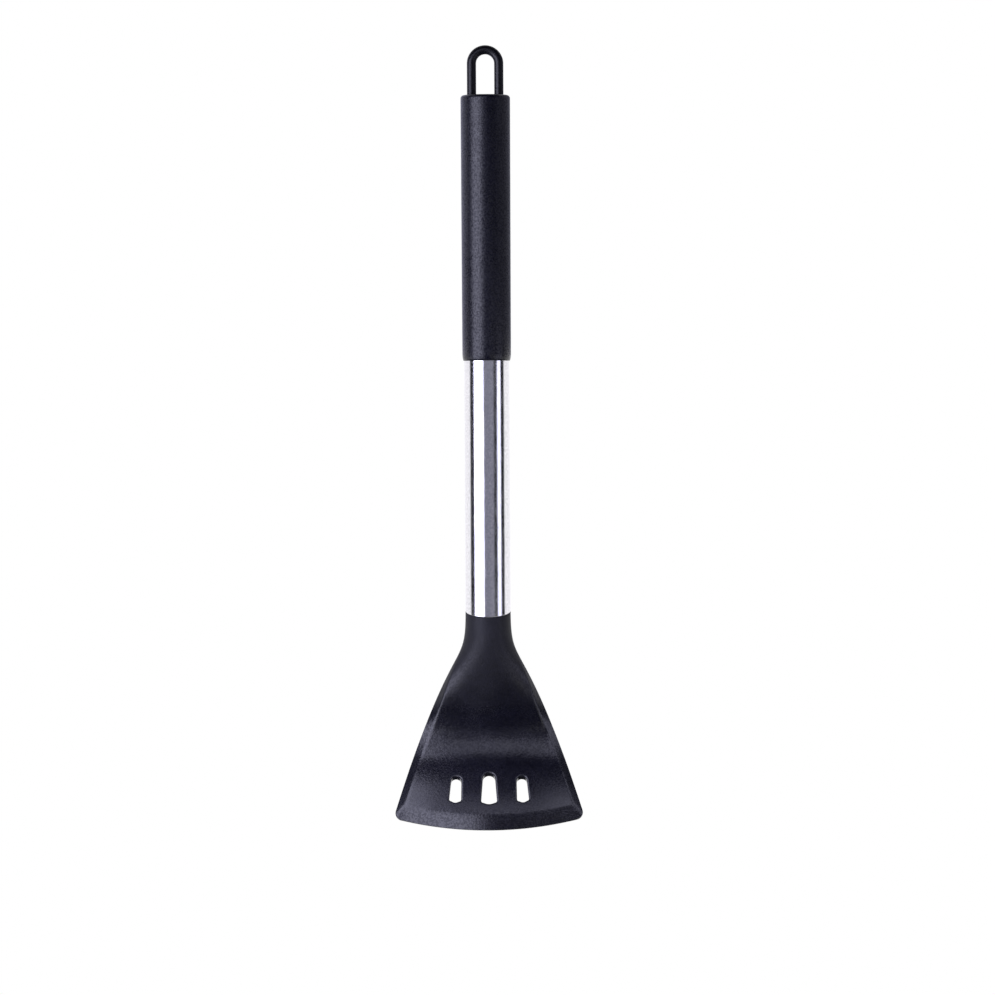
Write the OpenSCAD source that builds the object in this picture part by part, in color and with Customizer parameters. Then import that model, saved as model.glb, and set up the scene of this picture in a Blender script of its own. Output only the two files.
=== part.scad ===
// Grill turner with a slotted silicone head, a steel tube, a sleeve grip and a hanging loop.
// Millimetres. Z runs up the handle, X is the blade's width and -Y faces the user.
// The origin is the hook seat, the point of the loop's arch that rests on a hook.

/* [Hanging loop] */
// Diameter of the loop's round bar
loop_bar_d = 3.9; // [3:0.1:4.4]
// Clear width between the loop's legs
loop_gap_w = 7.6; // [6:0.1:8.6]
// Clear height from the hook seat down to the grip's top
loop_gap_h = 17.2; // [12:0.1:30]
// Depth of the legs in the upper plug
loop_leg_grip = 19; // [14:0.5:40]
// Diameter of the pin through both legs
loop_pin_d = 2; // [1.2:0.1:2.4]

/* [Grip] */
// Length of the grip sleeve
grip_len = 112; // [80:1:160]
// Wall of the grip at its closed top
grip_wall_top = 0.92; // [0.7:0.02:3]
// Wall of the grip at its mouth
grip_wall_mouth = 0.72; // [0.5:0.02:3]
// Thickness of the closed top
grip_cap_t = 3.5; // [2.5:0.1:8]
// Rounding radius of the top edge
grip_edge_r = 1.4; // [0.5:0.1:2]
// Height over which the mouth's lip rounds inward
grip_lip_h = 3; // [0.8:0.1:4]

/* [Tube] */
// Outside diameter of the tube
tube_d = 19.05; // [18.5:0.05:26]
// Wall of the tube
tube_wall = 0.6; // [0.4:0.05:0.9]
// Length of tube between the grip and the head, on the axis
tube_show = 105.5; // [60:0.5:200]
// Angle of the tube's oblique lower end, in degrees
cut_angle = 14.7; // [0:0.1:20]

/* [Plugs and seals] */
// Length of the lower plug on the axis
lower_plug_len = 30; // [26:0.5:50]
// Length of upper plug left below the loop's legs
upper_plug_foot = 9; // [7:0.5:20]
// Section diameter of both seal rings
seal_d = 1.8; // [1.2:0.1:2.2]
// Squeeze of a seal ring between its groove and the tube
seal_squeeze = 0.2; // [0.05:0.05:0.3]
// Free space between a plug and the tube
plug_gap = 0.05; // [0.02:0.01:0.1]

/* [Tang] */
// Width of the steel tang
tang_w = 9; // [6:0.5:10]
// Thickness of the steel tang
tang_t = 2.5; // [1.5:0.1:3.5]
// Length of tang inside the core
tang_core_len = 24; // [16:0.5:28]
// Length of tang inside the lower plug
tang_plug_len = 22; // [18:0.5:24]
// Diameter of the pin through the tang
tang_pin_d = 3; // [2:0.1:4]

/* [Head outline] */
// Height from the tube's end to the middle of the lip
head_h = 91.7; // [86:0.1:110]
// Width across the lip's corners before rounding
blade_w = 80.4; // [70:0.2:100]
// Lean of the blade's sides at the lip, in degrees
flank_angle = 17.7; // [14:0.1:20]
// Radius of the lip's curved edge
lip_r = 165; // [110:1:300]
// Rounding radius of the lip's corners
corner_r = 3.2; // [2:0.2:6]

/* [Head profile] */
// Swell of the neck's faces below the tube
neck_swell = 0.8; // [0:0.1:1.5]
// Depth over which the neck swells before it flattens
neck_len = 12; // [8:0.5:16]
// Depth below the tube at which the bend begins
bend_start = 49.8; // [44:0.2:51]
// Bend radius of the head's middle surface
bend_r = 32; // [25:0.5:40]
// Lean of the blade at the end of the bend, in degrees
bend_angle = 29; // [15:0.5:30]
// Radius of the blade's curve back from the bend
blade_r = 100; // [80:5:900]
// Radius of the blade's crown from side to side
crown_r = 200; // [180:10:900]
// Thickness of the blade
blade_t = 4; // [3.8:0.1:6]
// Thickness at the blade's bevelled edge
edge_t = 1; // [0.6:0.1:1.4]
// Width of the bevel along the sides
side_bevel = 3.2; // [2:0.1:5]
// Height of the bevel along the lip, seen from the front
lip_bevel = 6.4; // [2.5:0.1:7]

/* [Core] */
// Thickness of the silicone over the core
skin_t = 1.1; // [0.8:0.05:1.2]
// Distance from the core's side to the blade's side
core_side = 7; // [6:0.25:10]
// Distance from the core's end to the lip
core_lip = 5.6; // [5:0.2:6.4]
// Thickness of the silicone lining in the slots
slot_lining = 0.9; // [0.6:0.1:1.2]

/* [Slots] */
// Length of the middle slot along the blade
mid_slot_len = 13.6; // [11:0.2:16]
// Width of the middle slot at its upper end
mid_slot_top = 5.2; // [4.5:0.1:7]
// Width of the middle slot at its lower end
mid_slot_foot = 6.6; // [5:0.1:9]
// Length of a side slot along the blade
side_slot_len = 11.4; // [9:0.2:13.6]
// Width of a side slot at its upper end
side_slot_top = 4.3; // [4.2:0.1:5.5]
// Width of a side slot at its lower end
side_slot_foot = 5; // [4.4:0.1:7]
// Distance from the middle slot to a side slot
slot_pitch = 14; // [12:0.2:17]
// Angle by which the side slots fan out, in degrees
slot_fan = 3.5; // [0:0.5:8]
// Height of the slots' lower ends above the lip
slot_foot = 10.8; // [9.6:0.1:12]
// Depth of the chamfer round each slot's front edge
slot_chamfer = 0.7; // [0.3:0.1:0.9]

/* [Hidden] */

$fn = 64;
// Overshoot of a cutting solid past the face that it cuts
over = 1;
// Clearance of a hand fit: pins and tang in their holes
fit = 0.05;
// Clearance on the diameter of a press fit: pins, seals and loop
press = 0.02;
// Distance from the lower plug's end to its seal, and of the tang's pin above the tang's middle
seal_end = 4;
pin_rise = 2;
// By how much a pin is shorter than the plug is wide
pin_short = 1;

loop_r = (loop_gap_w + loop_bar_d) / 2;
leg_len = grip_cap_t + loop_leg_grip;

tube_r = tube_d / 2;
bore_r = tube_r - tube_wall;
plug_r = bore_r - plug_gap;

grip_top_z = -loop_gap_h;
grip_mouth_z = grip_top_z - grip_len;
tube_top_z = grip_top_z - grip_cap_t;
joint_z = grip_mouth_z - tube_show;
leg_end_z = grip_top_z - leg_len;
loop_pin_z = leg_end_z + loop_leg_grip / 2;

upper_plug_len = loop_leg_grip + upper_plug_foot;
upper_seal_z = leg_end_z - upper_plug_foot / 2;
lower_seal_z = joint_z + lower_plug_len - seal_end;
tang_pin_z = joint_z + tang_plug_len / 2 + pin_rise;
pin_len = 2 * plug_r - pin_short;

// A seal ring fills the groove between the plug and the tube's bore
seal_section = seal_d - seal_squeeze;
groove_r = bore_r - seal_section;

// Shares of the head's height over which its flank and its neck hold their direction
flank_share = 0.926;
neck_share = 0.302;
// Outline of the head in the front view: half width and depth below the joint
corner_x = blade_w / 2;
corner_s = head_h - sag(corner_x);
flank_hold = flank_share * corner_s;
neck_hold = neck_share * corner_s;
outline = [
    [tube_r, 0],
    [tube_r, neck_hold],
    [corner_x - flank_hold * tan(flank_angle), corner_s - flank_hold],
    [corner_x, corner_s]
];

// The bend turns the middle surface from upright to the blade's lean
bend_end = bend_start + bend_r * sin(bend_angle);
bend_end_y = -bend_r * (1 - cos(bend_angle));

// Depths over which the neck swells, flattens, squares off and loses its oblique end
swell_span = [0, neck_len];
flat_span = [neck_len, bend_start + 2];
square_span = [16, bend_start - 2];
oblique_span = [0, 16];
// Part of the outline over which the head's rows take up the lip's curve
bow_span = [0.5, 0.85];

// Depth of the slots' lower ends, and of the core's end, along the outline's parameter
slot_foot_s = head_h - slot_foot;
lip_speed = 3 * flank_hold;
bevel_u = 1 - lip_bevel / lip_speed;
core_u = 1 - core_lip / lip_speed;

// Thickness of the core at its edge, which is a little less than on its face
core_edge_t = blade_t - 2 * skin_t - 0.6;
// Rise of the skin's cavity past the head's oblique top face
cavity_rise = 4;
// Corner radius of a slot's lower end, its own bow, and the rise of its chamfer past the face
slot_corner_r = 1;
slot_bow = 0.3;
chamfer_rise = 0.6;

// Columns across each face of the head, and those in each side's bevel
cols = 22;
bevel_cols = 3;
// Rows down the skin's face, down its lip bevel, and down the core
face_rows = 36;
lip_rows = 7;
core_rows = 30;
// Angle to which the neck's round section is carried on each side
side_angle = 87;

function mix(a, b, k) = a + (b - a) * k;

function ramp(a, b, v) = min(1, max(0, (v - a) / (b - a)));

function ease(span, v) = let (k = ramp(span[0], span[1], v)) k * k * (3 - 2 * k);

function bezier(p, u) =
    p[0] * pow(1 - u, 3) + p[1] * 3 * u * pow(1 - u, 2)
    + p[2] * 3 * u * u * (1 - u) + p[3] * pow(u, 3);

// Rise of the lip's arc at a distance x from its middle
function sag(x) = lip_r - sqrt(lip_r * lip_r - x * x);

// Lean of the middle surface at depth s below the joint
function lean(s) =
    s <= bend_start ? 0
    : s <= bend_end ? asin((s - bend_start) / bend_r)
    : asin(sin(bend_angle) - (s - bend_end) / blade_r);

// Place of the middle surface, front to back, at depth s below the joint
function spine_y(s) =
    s <= bend_start ? 0
    : s <= bend_end ? -bend_r * (1 - cos(lean(s)))
    : bend_end_y - blade_r * (cos(lean(s)) - cos(bend_angle));

// Half the head's thickness at depth s, from the round neck to the flat blade
function half_t(s) =
    mix(tube_r + neck_swell * ease(swell_span, s), blade_t / 2, ease(flat_span, s));

// How far the blade's crown sets a point back at distance x from the middle
function crown(x, s) = ease(square_span, s) * x * x / (2 * crown_r);

// A point of the head: x across, depth s, and offset o from the middle surface to the front
function head_point(x, s, o) =
    let (
        a = lean(s),
        y = spine_y(s) - o * cos(a) + crown(x, s),
        slant = y * tan(cut_angle) * (1 - ease(oblique_span, s))
    )
    [x, y, joint_z - s + o * sin(a) + slant];

// Where column j lies across the face, from -1 to 1, with a bevel of fraction b at each side
function column(j, b) =
    j < bevel_cols ? -1 + b * j / bevel_cols
    : j > cols - bevel_cols ? 1 - b * (cols - j) / bevel_cols
    : mix(-1 + b, 1 - b, (j - bevel_cols) / (cols - 2 * bevel_cols));

// How far up its side's bevel column j is, from 0 at the edge to 1
function column_rise(j) = min(1, j / bevel_cols, (cols - j) / bevel_cols);

// Narrowing of a row that crosses the lip's rounded corners at distance d from the lip
function corner_cut(d) =
    d >= corner_r ? 0 : corner_r - sqrt(corner_r * corner_r - pow(corner_r - max(d, 0), 2));

// One ring of the head's skin or of its core at the outline's parameter u.
// cover is the silicone over the ring, side its distance to the outline on the blade.
function ring(u, cover, side, bevel, edge, lip_rise) =
    let (
        at = bezier(outline, u),
        bow = ease(bow_span, u),
        square = ease(square_span, at.y),
        mid_s = at.y + bow * sag(at.x),
        w = at.x - corner_cut(head_h - mid_s) - mix(cover, side, square),
        row = [for (j = [0:cols])
            let (
                a = mix(-side_angle, side_angle, j / cols),
                x = w * mix(sin(a) / sin(side_angle), column(j, bevel / w), square),
                s = at.y + bow * (sag(at.x) - sag(x)),
                h = half_t(s) - cover,
                rise = min(column_rise(j), lip_rise),
                o = mix(h * cos(a), mix(edge / 2, h, rise), square)
            )
            [head_point(x, s, o), head_point(x, s, -o)]]
    )
    concat([for (j = [0:cols]) row[j][0]], [for (j = [cols:-1:0]) row[j][1]]);

// Triangles of the closed skin over a stack of rings, each of 2 * (cols + 1) points
function loft_faces(rings) =
    let (m = 2 * (cols + 1), last = m * (rings - 1))
    concat(
        [for (i = [0:rings - 2], j = [0:m - 1])
            let (a = m * i + j, b = m * i + (j + 1) % m)
            each [[a, b, b + m], [a, b + m, a + m]]],
        [for (j = [0:cols - 1])
            let (f = j, k = m - 1 - j)
            each [
                [f, k, k - 1], [f, k - 1, f + 1],
                [last + f, last + f + 1, last + k - 1], [last + f, last + k - 1, last + k]
            ]]
    );

module loft(rings) {
    polyhedron(points = [for (r = rings) each r], faces = loft_faces(len(rings)), convexity = 8);
}

function skin_ring(u, lip_rise) = ring(u, 0, 0, side_bevel, edge_t, lip_rise);

function skin_rings() = concat(
    [for (i = [0:face_rows]) skin_ring(bevel_u * i / face_rows, 1)],
    [for (i = [1:lip_rows])
        let (k = sin(90 * i / lip_rows))
        skin_ring(mix(bevel_u, 1, k), 1 - k)]
);

function core_ring(u) = ring(u, skin_t, core_side, 1, core_edge_t, 1);

function core_rings() = [for (i = [0:core_rows]) core_ring(core_u * i / core_rows)];

// Outline of a slot, upright, with a round upper end and a bowed lower end
function slot_outline(len, top, foot, grow) =
    let (
        rt = top / 2 + grow,
        rc = slot_corner_r + grow,
        xc = foot / 2 - slot_corner_r,
        bow = sag(xc + slot_pitch / 2) + slot_bow,
        low = -len / 2 + bow + slot_corner_r
    )
    concat(
        [for (a = [0:15:180]) [rt * cos(a), len / 2 - top / 2 + rt * sin(a)]],
        [for (a = [180:15:270]) [-xc + rc * cos(a), low + rc * sin(a)]],
        [for (k = [-2:2]) let (x = xc * k / 3) [x, -len / 2 - grow + bow * pow(k / 3, 2)]],
        [for (a = [270:15:360]) [xc + rc * cos(a), low + rc * sin(a)]]
    );

// Cutter for one slot at distance x from the middle, square to the blade at the slot's middle
module slot(x, len, top, foot, grow, chamfer) {
    mid_s = slot_foot_s - sag(x) - len / 2 * cos(bend_angle);
    h = blade_t / 2;
    reach = h + 2 * over;
    shape = slot_outline(len, top, foot, grow);
    wide = slot_outline(len, top, foot, grow + chamfer);
    translate(head_point(x, mid_s, 0))
        rotate([90 - lean(mid_s), 0, 0])
        rotate([0, 0, sign(x) * slot_fan]) {
            translate([0, 0, -reach])
                linear_extrude(height = 2 * reach)
                polygon(shape);
            if (chamfer > 0)
                chamfer_ring(shape, wide, h, chamfer);
        }
}

// Flared collar between a slot's outline and its wider front edge
module chamfer_ring(shape, wide, h, chamfer) {
    n = len(shape);
    levels = [h - chamfer, h, h + chamfer_rise];
    rims = [shape, wide, wide];
    polyhedron(
        points = [for (i = [0:2]) each [for (p = rims[i]) [p.x, p.y, levels[i]]]],
        faces = concat(
            [[for (k = [0:n - 1]) k]],
            [[for (k = [n - 1:-1:0]) 2 * n + k]],
            [for (i = [0:1], k = [0:n - 1])
                let (a = i * n + k, b = i * n + (k + 1) % n)
                each [[a, a + n, b + n], [a, b + n, b]]]
        ),
        convexity = 4
    );
}

module slots(grow, chamfer) {
    slot(0, mid_slot_len, mid_slot_top, mid_slot_foot, grow, chamfer);
    for (side = [-1, 1])
        slot(side * slot_pitch, side_slot_len, side_slot_top, side_slot_foot, grow, chamfer);
}

// Everything below the oblique plane between tube and head
module below_joint() {
    size = 6 * tube_r;
    translate([0, 0, joint_z])
        rotate([cut_angle, 0, 0])
        translate([-size / 2, -size / 2, -size])
        cube(size);
}

// Ring groove in a plug, open to the tube's bore
module seal_groove(z) {
    translate([0, 0, z - seal_d / 2 - fit])
        difference() {
            cylinder(h = seal_d + 2 * fit, r = bore_r + over);
            translate([0, 0, -over])
                cylinder(h = seal_d + 2 * fit + 2 * over, r = groove_r);
        }
}

module seal_ring(z) {
    translate([0, 0, z])
        rotate_extrude()
        translate([groove_r + seal_section / 2, 0])
        circle(d = seal_section - press);
}

module head_skin() {
    color([0.11, 0.115, 0.12])
        difference() {
            loft(skin_rings());
            difference() {
                // The cavity runs up past the head's top face
                loft(concat([[for (p = core_ring(0)) p + [0, 0, cavity_rise]]], core_rings()));
                slots(slot_lining, 0);
            }
            slots(0, slot_chamfer);
        }
}

module blade_core() {
    color([0.2, 0.2, 0.2])
        difference() {
            loft(core_rings());
            slots(slot_lining, 0);
            translate([-tang_w / 2, -tang_t / 2, joint_z - tang_core_len])
                cube([tang_w, tang_t, tang_core_len + tube_r]);
        }
}

module tang() {
    color([0.7, 0.7, 0.72])
        difference() {
            translate([-tang_w / 2 + fit, -tang_t / 2 + fit, joint_z - tang_core_len + fit])
                cube([tang_w - 2 * fit, tang_t - 2 * fit, tang_core_len + tang_plug_len - fit]);
            translate([0, 0, tang_pin_z])
                rotate([90, 0, 0])
                cylinder(h = tang_t + 2 * over, d = tang_pin_d + 2 * fit, center = true);
        }
}

module lower_plug() {
    color([0.3, 0.3, 0.31])
        difference() {
            translate([0, 0, joint_z - tube_r])
                cylinder(h = lower_plug_len + tube_r, r = plug_r);
            below_joint();
            translate([-tang_w / 2, -tang_t / 2, joint_z - tube_r])
                cube([tang_w, tang_t, tube_r + tang_plug_len + fit]);
            translate([0, 0, tang_pin_z])
                rotate([90, 0, 0])
                cylinder(h = 2 * tube_d, d = tang_pin_d, center = true);
            seal_groove(lower_seal_z);
        }
}

module tang_pin() {
    color([0.75, 0.75, 0.77])
        translate([0, 0, tang_pin_z])
        rotate([90, 0, 0])
        cylinder(h = pin_len, d = tang_pin_d - press, center = true);
}

module lower_seal() {
    color([0.08, 0.08, 0.08]) seal_ring(lower_seal_z);
}

module steel_tube() {
    color([0.78, 0.78, 0.79])
        difference() {
            translate([0, 0, joint_z - tube_r])
                cylinder(h = tube_top_z - joint_z + tube_r, r = tube_r);
            translate([0, 0, joint_z - tube_r - over])
                cylinder(h = tube_top_z - joint_z + tube_r + 2 * over, r = bore_r);
            below_joint();
        }
}

// Half section of the grip, from the mouth at height 0 up to the closed top
module grip_section() {
    mouth_r = tube_r + grip_wall_mouth;
    top_r = tube_r + grip_wall_top;
    lip_flat = 0.05;
    difference() {
        polygon(concat(
            [[tube_r, 0]],
            [for (a = [0:15:90])
                [tube_r + mix(lip_flat, grip_wall_mouth, sin(a)), grip_lip_h * (1 - cos(a))]],
            [[top_r, grip_len], [0, grip_len], [0, grip_len - grip_cap_t],
                [tube_r, grip_len - grip_cap_t]]
        ));
        translate([top_r - grip_edge_r, grip_len - grip_edge_r])
            difference() {
                square(grip_edge_r + over);
                circle(r = grip_edge_r);
            }
    }
}

module grip() {
    color([0.1, 0.105, 0.115])
        difference() {
            translate([0, 0, grip_mouth_z])
                rotate_extrude()
                grip_section();
            leg_holes();
        }
}

// Holes for both legs of the loop, through the grip's top and down the upper plug
module leg_holes() {
    for (side = [-1, 1])
        translate([side * loop_r, 0, leg_end_z])
            cylinder(h = leg_len + over, d = loop_bar_d);
}

module upper_plug() {
    color([0.3, 0.3, 0.31])
        difference() {
            translate([0, 0, tube_top_z - upper_plug_len])
                cylinder(h = upper_plug_len, r = plug_r);
            leg_holes();
            translate([0, 0, loop_pin_z])
                rotate([0, 90, 0])
                cylinder(h = 2 * tube_d, d = loop_pin_d, center = true);
            seal_groove(upper_seal_z);
        }
}

module upper_seal() {
    color([0.08, 0.08, 0.08]) seal_ring(upper_seal_z);
}

module hanging_loop() {
    bar_d = loop_bar_d - press;
    arch_z = -loop_gap_w / 2;
    color([0.06, 0.06, 0.065])
        difference() {
            union() {
                translate([0, 0, arch_z])
                    rotate([90, 0, 0])
                    rotate_extrude(angle = 180)
                    translate([loop_r, 0])
                    circle(d = bar_d);
                for (side = [-1, 1])
                    translate([side * loop_r, 0, leg_end_z + fit])
                        cylinder(h = arch_z - leg_end_z - fit, d = bar_d);
            }
            translate([0, 0, loop_pin_z])
                rotate([0, 90, 0])
                cylinder(h = 2 * tube_d, d = loop_pin_d, center = true);
        }
}

module loop_pin() {
    color([0.75, 0.75, 0.77])
        translate([0, 0, loop_pin_z])
        rotate([0, 90, 0])
        cylinder(h = pin_len, d = loop_pin_d - press, center = true);
}

head_skin();
blade_core();
tang();
lower_plug();
tang_pin();
lower_seal();
steel_tube();
grip();
upper_plug();
upper_seal();
hanging_loop();
loop_pin();
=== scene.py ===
"""Studio scene of a slotted grill turner: silicone head, steel tube, sleeve grip and hanging loop.

Sizes are in millimetres until a point becomes a vertex. Z runs up the handle, -Y faces the camera,
and the origin is the hook seat under the loop's arch.
"""

import logging
import math
from collections.abc import Callable, Iterator, Sequence
from contextlib import contextmanager
from dataclasses import dataclass, field
from enum import Enum

import bpy
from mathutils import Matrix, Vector


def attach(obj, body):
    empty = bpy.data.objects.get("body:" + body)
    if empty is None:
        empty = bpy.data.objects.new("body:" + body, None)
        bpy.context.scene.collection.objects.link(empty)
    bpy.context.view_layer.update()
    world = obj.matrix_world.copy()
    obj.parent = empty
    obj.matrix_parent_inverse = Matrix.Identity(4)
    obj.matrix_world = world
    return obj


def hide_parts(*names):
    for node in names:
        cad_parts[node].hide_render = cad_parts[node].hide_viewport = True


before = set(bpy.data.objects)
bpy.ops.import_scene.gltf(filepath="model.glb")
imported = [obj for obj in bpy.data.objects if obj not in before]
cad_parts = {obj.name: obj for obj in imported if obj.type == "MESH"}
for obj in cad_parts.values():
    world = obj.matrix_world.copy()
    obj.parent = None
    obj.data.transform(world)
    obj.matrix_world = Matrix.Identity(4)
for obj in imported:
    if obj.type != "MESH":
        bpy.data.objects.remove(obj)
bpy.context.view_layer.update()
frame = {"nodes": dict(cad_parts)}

LOG = logging.getLogger("turner")
MM = 0.001
BLACK = (0.0, 0.0, 0.0)
WHITE = (1.0, 1.0, 1.0)
NOISE_SPAN = (0.3, 0.7)
NOISE_MIDDLE = 0.5
Point = tuple[float, float, float]
Span = tuple[float, float]


class Space(Enum):
    """Coordinates that a shader reads, by their socket."""

    OBJECT = "Object"
    UV = "UV"
    WAY = "Generated"


class Axis(Enum):
    """One part of a vector, by its socket."""

    X = "X"
    Y = "Y"
    Z = "Z"


class Ray(Enum):
    """A kind of light path, by its socket."""

    CAMERA = "Is Camera Ray"
    GLOSSY = "Is Glossy Ray"


class Pick(Enum):
    """What a selection in edit mode is made of."""

    VERTEX = "VERT"
    EDGE = "EDGE"
    FACE = "FACE"


class Ends(Enum):
    """Whether a turned piece starts from an open ring or a closed disc."""

    OPEN = "NOTHING"
    CLOSED = "NGON"


class Face(Enum):
    """A face of the head, by the sign of its offset from the middle surface."""

    FRONT = 1
    BACK = -1


def mix(a: float, b: float, k: float) -> float:
    """Blend a into b by the share k."""
    return a + (b - a) * k


def ease(lo: float, hi: float, v: float) -> float:
    """Smooth step of v from 0 at lo to 1 at hi."""
    k = min(1.0, max(0.0, (v - lo) / (hi - lo)))
    return k * k * (3 - 2 * k)


def soft_min(a: float, b: float, k: float) -> float:
    """Smaller of two numbers, with the corner rounded where they differ by less than k."""
    h = max(k - abs(a - b), 0.0) / k
    return min(a, b) - h * h * k / 4


def quarter(steps: int) -> list[float]:
    """Angles from 0 to a right angle, in radians."""
    return [math.radians(90 * i / steps) for i in range(steps + 1)]


def arc(x: float, y: float, r: float, degrees: range) -> list[Span]:
    """Points of an arc of radius r about (x, y)."""
    turns = [math.radians(a) for a in degrees]
    return [(x + r * math.cos(a), y + r * math.sin(a)) for a in turns]


class Field:
    """A shader socket that takes part in arithmetic as a number would."""

    def __init__(self, graph: "Graph", socket: bpy.types.NodeSocket) -> None:
        """Hold a socket and the graph that it is in."""
        self.graph = graph
        self.socket = socket

    def _math(self, operation: str, a: "Field | float", b: "Field | float") -> "Field":
        """Add one Math node and hand back its result."""
        return self.graph.node("ShaderNodeMath", {0: a, 1: b}, operation=operation)

    def __add__(self, other: "Field | float") -> "Field":
        """This field plus another value."""
        return self._math("ADD", self, other)

    def __radd__(self, other: float) -> "Field":
        """A number plus this field."""
        return self._math("ADD", other, self)

    def __sub__(self, other: "Field | float") -> "Field":
        """This field less another value."""
        return self._math("SUBTRACT", self, other)

    def __rsub__(self, other: float) -> "Field":
        """A number less this field."""
        return self._math("SUBTRACT", other, self)

    def __mul__(self, other: "Field | float") -> "Field":
        """This field times another value."""
        return self._math("MULTIPLY", self, other)

    def __rmul__(self, other: float) -> "Field":
        """A number times this field."""
        return self._math("MULTIPLY", other, self)

    def step(self, lo: float, hi: float) -> "Field":
        """Smooth step of this field from 0 at lo to 1 at hi."""
        inputs = {"Value": self, "From Min": lo, "From Max": hi}
        return self.graph.node("ShaderNodeMapRange", inputs, interpolation_type="SMOOTHSTEP")


class Graph:
    """Builder of one node tree.

    The three numbers are the sockets by which a Mix node takes and gives colours.
    """

    MIX_FIRST = 6
    MIX_SECOND = 7
    MIX_RESULT = 2

    def __init__(self, tree: bpy.types.NodeTree) -> None:
        """Start with an empty tree."""
        self.tree = tree
        tree.nodes.clear()

    def node(
        self,
        kind: str,
        inputs: dict[str | int, object] | None = None,
        output: str | int = 0,
        **settings: object,
    ) -> Field:
        """Add one node, set it and wire it.

        Args:
            kind: The node's type name.
            inputs: Socket name or index to a Field, which is linked, or to a constant.
            output: Name or index of the output to hand back.
            settings: The node's own properties.

        Returns:
            The chosen output as a Field, or the node's first input if it has no output.
        """
        made = self.tree.nodes.new(kind)
        for name, value in settings.items():
            setattr(made, name, value)
        for key, value in (inputs or {}).items():
            if isinstance(value, Field):
                self.tree.links.new(value.socket, made.inputs[key])
            else:
                made.inputs[key].default_value = value
        return Field(self, made.outputs[output] if made.outputs else made.inputs[0])

    def place(self, space: Space = Space.OBJECT) -> Field:
        """Vector field of the place, which object coordinates give in metres."""
        return self.node("ShaderNodeTexCoord", output=space.value)

    def part(self, vector: Field, axis: Axis) -> Field:
        """One part of a vector field."""
        return self.node("ShaderNodeSeparateXYZ", {0: vector}, axis.value)

    def ray(self, kind: Ray) -> Field:
        """Field of 1 on rays of one kind and 0 on others."""
        return self.node("ShaderNodeLightPath", output=kind.value)

    def along(self, vector: Field, k: float) -> Field:
        """Vector field with its Z scaled by k."""
        return self.node("ShaderNodeVectorMath", {0: vector, 1: (1.0, 1.0, k)}, operation="MULTIPLY")

    def noise(self, vector: Field, grain_mm: float, detail: float) -> Field:
        """Noise around 0.5, with grains of a given size and a number of finer octaves."""
        inputs = {"Vector": vector, "Scale": 1.0 / (grain_mm * MM), "Detail": detail}
        return self.node("ShaderNodeTexNoise", inputs)

    def bump(self, height: Field, strength: float, deep_mm: float) -> Field:
        """Normal of a surface with a relief of a given height, strength and depth."""
        inputs = {"Height": height, "Strength": strength, "Distance": deep_mm * MM}
        return self.node("ShaderNodeBump", inputs)

    def tint(self, factor: Field, first: "Field | Point", second: Point) -> Field:
        """Blend two colours by a field.

        Args:
            factor: Share of the second colour.
            first: Colour at 0.
            second: Colour at 1.

        Returns:
            The colour field.
        """
        start = first if isinstance(first, Field) else (*first, 1.0)
        inputs = {"Factor": factor, self.MIX_FIRST: start, self.MIX_SECOND: (*second, 1.0)}
        return self.node("ShaderNodeMix", inputs, self.MIX_RESULT, data_type="RGBA")


def surfaced(name: str, shader: Callable[[Graph], Field]) -> bpy.types.Material:
    """Make a material.

    Args:
        name: The material's name.
        shader: Builder of its surface in a node graph.

    Returns:
        The material.
    """
    material = bpy.data.materials.new(name)
    material.use_nodes = True
    graph = Graph(material.node_tree)
    graph.node("ShaderNodeOutputMaterial", {"Surface": shader(graph)})
    return material


def blend(first: Field, second: Field, share: float) -> Field:
    """Blend of two fields, with the given share of the first."""
    return first * share + second * (1 - share)


def spread(factor: Field, span: Span) -> Field:
    """Noise field stretched over a span of values."""
    return factor.step(*NOISE_SPAN) * (span[1] - span[0]) + span[0]


@dataclass(frozen=True)
class Finish:
    """A surface finish that makes its own procedural material."""

    name: str
    dark: Point
    light: Point
    rough: Span
    grain_mm: float
    bump: float

    def shade(self, graph: Graph) -> dict[str, Field]:
        """Inputs that vary over the surface, by socket name."""
        raise NotImplementedError

    def constants(self) -> dict[str, float]:
        """Inputs that are the same all over, by socket name."""
        return {}

    def surface(self, graph: Graph) -> Field:
        """Shader of the finish."""
        return graph.node("ShaderNodeBsdfPrincipled", {**self.constants(), **self.shade(graph)})

    def material(self) -> bpy.types.Material:
        """Make the material, or hand back the one made before.

        Returns:
            The material of this finish.
        """
        made = bpy.data.materials.get(self.name)
        if made is None:
            LOG.info("finish %s", self.name)
            made = surfaced(self.name, self.surface)
        return made


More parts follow.
